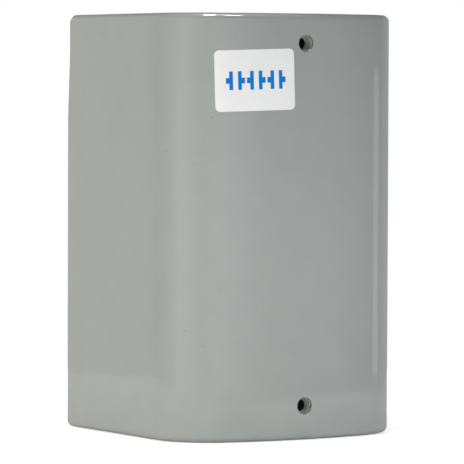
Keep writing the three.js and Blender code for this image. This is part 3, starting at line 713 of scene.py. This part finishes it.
def enamel(name, colour, rough, coat, shaded_recesses=()):
    """Sprayed gloss enamel: faint mottling, orange peel, slow waviness of the sheet and sparse specks.

    The last argument lists the heights of the recesses whose walls and drawn edges are painted almost black,
    as painted shade.
    """
    mat, tree, shader, coords = start_material(name)
    mottle = noise(tree, coords, 60, 3, 0.5)
    tone = ramp(tree, mottle.outputs["Fac"], [(0.1, shade(colour, 0.975)), (0.9, shade(colour, 1.025))])
    tone = mixed(tree, speckle(tree, coords, 700, 0.86, 0.9), tone, shade(colour, 0.45))
    # painted shade: the walls and drawn edge of each recess are darkened almost to black
    for z0 in shaded_recesses:
        recess_shade = near_axis(tree, coords, z0, CUP_R + 0.1 * MM, CUP_R + 0.55 * MM)
        tone = mixed(tree, recess_shade, tone, shade(colour, 0.08))
    tree.links.new(tone, shader.inputs["Base Color"])
    gloss = noise(tree, coords, 30, 2)
    uneven_gloss(tree, shader, gloss.outputs["Fac"], rough * 0.95, rough * 1.05)
    wave = noise(tree, coords, 9, 0)
    slow = bump(tree, wave.outputs["Fac"], 0.25 * MM)
    peel = noise(tree, coords, 300, 0)
    orange = bump(tree, peel.outputs["Fac"], 0.006 * MM, 1, slow)
    tree.links.new(orange, shader.inputs["Normal"])
    tree.links.new(orange, shader.inputs["Coat Normal"])
    shader.inputs["Specular IOR Level"].default_value = 0.15
    shader.inputs["Coat Weight"].default_value = coat
    shader.inputs["Coat Roughness"].default_value = 0.03
    return mat


def metal(name, colour, rough, grain=(1, 1, 1), spots=0.9):
    """Plated or bare metal: cloudy tone, uneven gloss and fine scratches along a grain."""
    mat, tree, shader, coords = start_material(name)
    cloud = noise(tree, coords, 120, 5, 0.6)
    stops = [(0.3, shade(colour, spots)), (0.55, colour), (0.75, shade(colour, 1.05))]
    tone = ramp(tree, cloud.outputs["Fac"], stops)
    tree.links.new(tone, shader.inputs["Base Color"])
    shader.inputs["Metallic"].default_value = 1
    scratch = noise(tree, coords, 900, 3, 0.6, grain)
    uneven_gloss(tree, shader, scratch.outputs["Fac"], rough * 0.8, rough * 1.3)
    tree.links.new(bump(tree, scratch.outputs["Fac"], 0.01 * MM), shader.inputs["Normal"])
    return mat


def worn_zinc(name, colour, rough):
    """Dull zinc plate on a pressed cup: cloudy, with dark scars from the screwdriver."""
    mat, tree, shader, coords = start_material(name)
    cloud = noise(tree, coords, 260, 4, 0.6)
    tone = ramp(tree, cloud.outputs["Fac"], [(0.25, shade(colour, 0.8)), (0.75, shade(colour, 1.12))])
    tone = mixed(tree, speckle(tree, coords, 620, 0.64, 0.7), tone, shade(colour, 0.15))
    tree.links.new(tone, shader.inputs["Base Color"])
    shader.inputs["Metallic"].default_value = 0.4
    uneven_gloss(tree, shader, cloud.outputs["Fac"], rough * 0.8, rough * 1.2)
    dents = noise(tree, coords, 700, 2)
    tree.links.new(bump(tree, dents.outputs["Fac"], 0.05 * MM), shader.inputs["Normal"])
    return mat


def moulding(name, colour, rough, grain=0.02):
    """Moulded plastic: slight flow marks in the tone and a fine eggshell surface."""
    mat, tree, shader, coords = start_material(name)
    flow = noise(tree, coords, 40, 6, 0.65)
    tone = ramp(tree, flow.outputs["Fac"], [(0.3, shade(colour, 0.86)), (0.7, shade(colour, 1.12))])
    tree.links.new(tone, shader.inputs["Base Color"])
    uneven = noise(tree, coords, 90, 3)
    uneven_gloss(tree, shader, uneven.outputs["Fac"], rough * 0.85, rough * 1.2)
    shell = noise(tree, coords, 1500, 2)
    tree.links.new(bump(tree, shell.outputs["Fac"], grain * MM), shader.inputs["Normal"])
    return mat


def striped(name, colour, dark, rough, metallic, pitch, axis, depth):
    """Layers across one axis, such as stacked sheets or wound wire."""
    mat, tree, shader, coords = start_material(name)
    wave = tree.nodes.new("ShaderNodeTexWave")
    wave.wave_type = "BANDS"
    wave.bands_direction = axis
    wave.inputs["Scale"].default_value = math.pi / (10 * pitch)
    wave.inputs["Distortion"].default_value = 0.4
    wave.inputs["Detail Scale"].default_value = 2
    tree.links.new(coords.outputs["Object"], wave.inputs["Vector"])
    tone = ramp(tree, wave.outputs["Fac"], [(0.05, dark), (0.35, colour), (1, shade(colour, 1.08))])
    tree.links.new(tone, shader.inputs["Base Color"])
    shader.inputs["Metallic"].default_value = metallic
    uneven = noise(tree, coords, 200, 3)
    uneven_gloss(tree, shader, uneven.outputs["Fac"], rough * 0.85, rough * 1.2)
    tree.links.new(bump(tree, wave.outputs["Fac"], depth), shader.inputs["Normal"])
    return mat


def film(name, colour, rough, shine=0.5):
    """Printed polyester film: almost even, with a faint satin grain."""
    mat, tree, shader, coords = start_material(name)
    cloud = noise(tree, coords, 80, 4)
    tone = ramp(tree, cloud.outputs["Fac"], [(0.3, shade(colour, 0.985)), (0.7, shade(colour, 1.01))])
    tree.links.new(tone, shader.inputs["Base Color"])
    uneven = noise(tree, coords, 60, 3)
    uneven_gloss(tree, shader, uneven.outputs["Fac"], rough * 0.9, rough * 1.1)
    grain = noise(tree, coords, 1200, 2)
    tree.links.new(bump(tree, grain.outputs["Fac"], 0.008 * MM), shader.inputs["Normal"])
    shader.inputs["Specular IOR Level"].default_value = shine
    return mat


MATERIALS = {
    # the cover's enamel gets painted shade round the two screw recesses
    "grey_enamel": enamel("grey_enamel", (0.295, 0.316, 0.306), 0.4, 1.0, SCREW_Z.values()),
    "base_enamel": enamel("base_enamel", (0.3, 0.323, 0.31), 0.45, 0.8),
    "label_film": film("label_film", (0.77, 0.775, 0.78), 0.4),
    "zinc_steel": metal("zinc_steel", (0.62, 0.64, 0.67), 0.3, (1, 1, 4)),
    "spring_steel": metal("spring_steel", (0.3, 0.31, 0.33), 0.35),
    "black_oxide": metal("black_oxide", (0.008, 0.008, 0.009), 0.5),
    "black_moulding": moulding("black_moulding", (0.018, 0.019, 0.021), 0.42),
    "grey_moulding": moulding("grey_moulding", (0.09, 0.1, 0.107), 0.42),
    "white_moulding": moulding("white_moulding", (0.68, 0.65, 0.56), 0.45),
    "laminated_steel": striped("laminated_steel", (0.36, 0.35, 0.33), (0.12, 0.11, 0.1), 0.4, 1,
                               0.6 * MM, "Z", 0.05 * MM),
    "coil_tape": striped("coil_tape", (0.62, 0.3, 0.05), (0.4, 0.16, 0.02), 0.35, 0,
                         6 * MM, "DIAGONAL", 0.12 * MM),
    "silver_copper": metal("silver_copper", (0.75, 0.42, 0.26), 0.3, (1, 1, 3), 0.75),
    "brass_zinc": metal("brass_zinc", (0.72, 0.6, 0.36), 0.28),
    "reset_blue": moulding("reset_blue", (0.012, 0.1, 0.42), 0.28, 0.005),
    "ground_green": moulding("ground_green", (0.01, 0.17, 0.045), 0.35, 0.01),
    "wire_red": moulding("wire_red", (0.42, 0.02, 0.015), 0.35, 0.01),
}
INK = film("glyph_ink", (0.0, 0.18, 0.56), 0.35, 0.1)
LINER = worn_zinc("worn_zinc", (0.85, 0.86, 0.82), 0.22)


def dress(obj, slot_name):
    """Gives an object the finish of one of the record's material slots."""
    obj.data.materials.clear()
    obj.data.materials.append(MATERIALS[slot_name])


def dress_cad():
    """Finishes for every CAD node by its slot, with softened edges."""
    slots = {row["node"]: row["material_slot"] for row in frame["record"]["subparts"]}
    for name, obj in frame["nodes"].items():
        obj.data.materials.clear()
        obj.data.materials.append(MATERIALS[slots[name]])
        obj.data.shade_smooth()
        flat = obj.modifiers.new("merge_flats", "DECIMATE")
        flat.decimate_type = "DISSOLVE"
        flat.angle_limit = math.radians(1)
        bevel(obj, SHEET_EDGE if name in SHEET_METAL else BLOCK_EDGE)


# ---------------------------------------------------------------- camera, floor and light


def camera():
    """The photograph's view: a long lens from the front left, level with the upper part of the cover."""
    data = bpy.data.cameras.new("view")
    data.sensor_width = 36
    data.lens = LENS
    data.clip_start = 0.1
    data.clip_end = 100
    obj = bpy.data.objects.new("view", data)
    heading = Vector((math.sin(CAMERA_AZIMUTH), math.cos(CAMERA_AZIMUTH), 0))
    look = heading * math.cos(CAMERA_PITCH) + Vector((0, 0, -math.sin(CAMERA_PITCH)))
    turned = look.to_track_quat("-Z", "Y").to_matrix().to_4x4()
    obj.matrix_world = Matrix.Translation(CAMERA_AT) @ turned @ Matrix.Rotation(CAMERA_ROLL, 4, "Z")
    bpy.context.scene.collection.objects.link(obj)
    bpy.context.scene.camera = obj


def feather(light):
    """Fades the brightness of a soft box to nothing at its left and right edges."""
    light.use_nodes = True
    tree = light.node_tree
    place_on = tree.nodes.new("ShaderNodeNewGeometry")
    split = tree.nodes.new("ShaderNodeSeparateXYZ")
    tree.links.new(place_on.outputs["Parametric"], split.inputs[0])
    off_middle = value_math(tree, "SUBTRACT", split.outputs["X"], 0.5)
    away = value_math(tree, "ABSOLUTE", off_middle, 0)
    fade = tree.nodes.new("ShaderNodeMapRange")
    fade.interpolation_type = "SMOOTHSTEP"
    fade.inputs["From Max"].default_value = 0.5
    fade.inputs["To Min"].default_value = 1
    fade.inputs["To Max"].default_value = 0
    tree.links.new(away, fade.inputs["Value"])
    tree.links.new(fade.outputs["Result"], tree.nodes["Emission"].inputs["Strength"])


def area(name, azimuth, elevation, distance, width, height, radiance, colour):
    """A soft box; azimuth 0 is in front, positive towards the left."""
    data = bpy.data.lights.new(name, "AREA")
    data.shape = "RECTANGLE"
    data.size = width
    data.size_y = height
    data.color = colour
    data.energy = radiance * math.pi * width * height
    obj = bpy.data.objects.new(name, data)
    a, e = math.radians(azimuth), math.radians(elevation)
    offset = Vector((-math.sin(a) * math.cos(e), -math.cos(a) * math.cos(e), math.sin(e))) * distance
    obj.location = AIM + offset
    obj.rotation_euler = offset.to_track_quat("Z", "Y").to_euler()
    bpy.context.scene.collection.objects.link(obj)
    return obj


def floor():
    """A round pale table top."""
    z = cad_low.z - 0.2 * MM
    sides = 96
    verts = [(0, 0, z)]
    for k in range(sides):
        turn = 2 * math.pi * k / sides
        verts.append((FLOOR_REACH * math.cos(turn), FLOOR_REACH * math.sin(turn), z))
    faces = [(0, k + 1, (k + 1) % sides + 1) for k in range(sides)]
    obj = mesh_object("floor", verts, faces)
    mat, tree, shader, coords = start_material("floor")
    cloud = noise(tree, coords, 3, 3)
    tone = ramp(tree, cloud.outputs["Fac"], [(0.3, (0.9, 0.9, 0.9)), (0.7, (0.92, 0.92, 0.92))])
    tree.links.new(tone, shader.inputs["Base Color"])
    shader.inputs["Roughness"].default_value = 0.8
    shader.inputs["Emission Color"].default_value = (1, 1, 1, 1)
    path = tree.nodes.new("ShaderNodeLightPath")
    glow = tree.nodes.new("ShaderNodeMapRange")
    glow.inputs["To Max"].default_value = FLOOR_GLOW
    tree.links.new(path.outputs["Is Camera Ray"], glow.inputs["Value"])
    tree.links.new(glow.outputs["Result"], shader.inputs["Emission Strength"])
    obj.data.materials.append(mat)


def world():
    """White surroundings, dimmer as a light source than as a backdrop."""
    scene_world = bpy.data.worlds.new("studio")
    bpy.context.scene.world = scene_world
    scene_world.use_nodes = True
    tree = scene_world.node_tree
    background = tree.nodes["Background"]
    background.inputs["Color"].default_value = (1, 1, 1, 1)
    path = tree.nodes.new("ShaderNodeLightPath")
    strength = tree.nodes.new("ShaderNodeMapRange")
    strength.inputs["To Min"].default_value = AMBIENT
    strength.inputs["To Max"].default_value = 1.0
    tree.links.new(path.outputs["Is Camera Ray"], strength.inputs["Value"])
    tree.links.new(strength.outputs["Result"], background.inputs["Strength"])
    bpy.context.scene.view_settings.view_transform = "Standard"


def ring():
    """The ring of soft boxes round the object, warmer at the back."""
    width = 2 * RING_DISTANCE * math.tan(RING_STEP)
    for azimuth, radiance in RING.items():
        colour = WARM if azimuth > WARM_FROM else COOL
        soft_box = area(f"ring_{azimuth}", azimuth, 0, RING_DISTANCE, width, RING_HEIGHT, radiance, colour)
        feather(soft_box.data)


# ---------------------------------------------------------------- put together


def place(piece, body, slot_name, *nodes):
    """Puts a finished piece on its body, in place of its CAD nodes."""
    if slot_name:
        dress(piece, slot_name)
    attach(piece, body)
    if nodes:
        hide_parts(*nodes)


dress_cad()
place(build_cover(), "cover", "grey_enamel", "cover")
place(build_label(), "cover", "label_film", "nameplate_label")
glyphs = build_glyphs()
glyphs.data.materials.append(INK)
place(glyphs, "cover", None)
for screw, node in build_cover_screws():
    place(screw, node, "black_oxide", node)
for side in ("upper", "lower"):
    liner = build_liner(f"recess_liner_{side}", SCREW_Z[f"cover_screw_{side}"])
    place(liner, "cover", "zinc_steel")
    liner.data.materials[0] = LINER

camera()
floor()
world()
ring()
for lamp, settings in MIRRORED.items():
    area(lamp, *settings).visible_diffuse = False
for lamp, settings in UNMIRRORED.items():
    area(lamp, *settings).visible_glossy = False
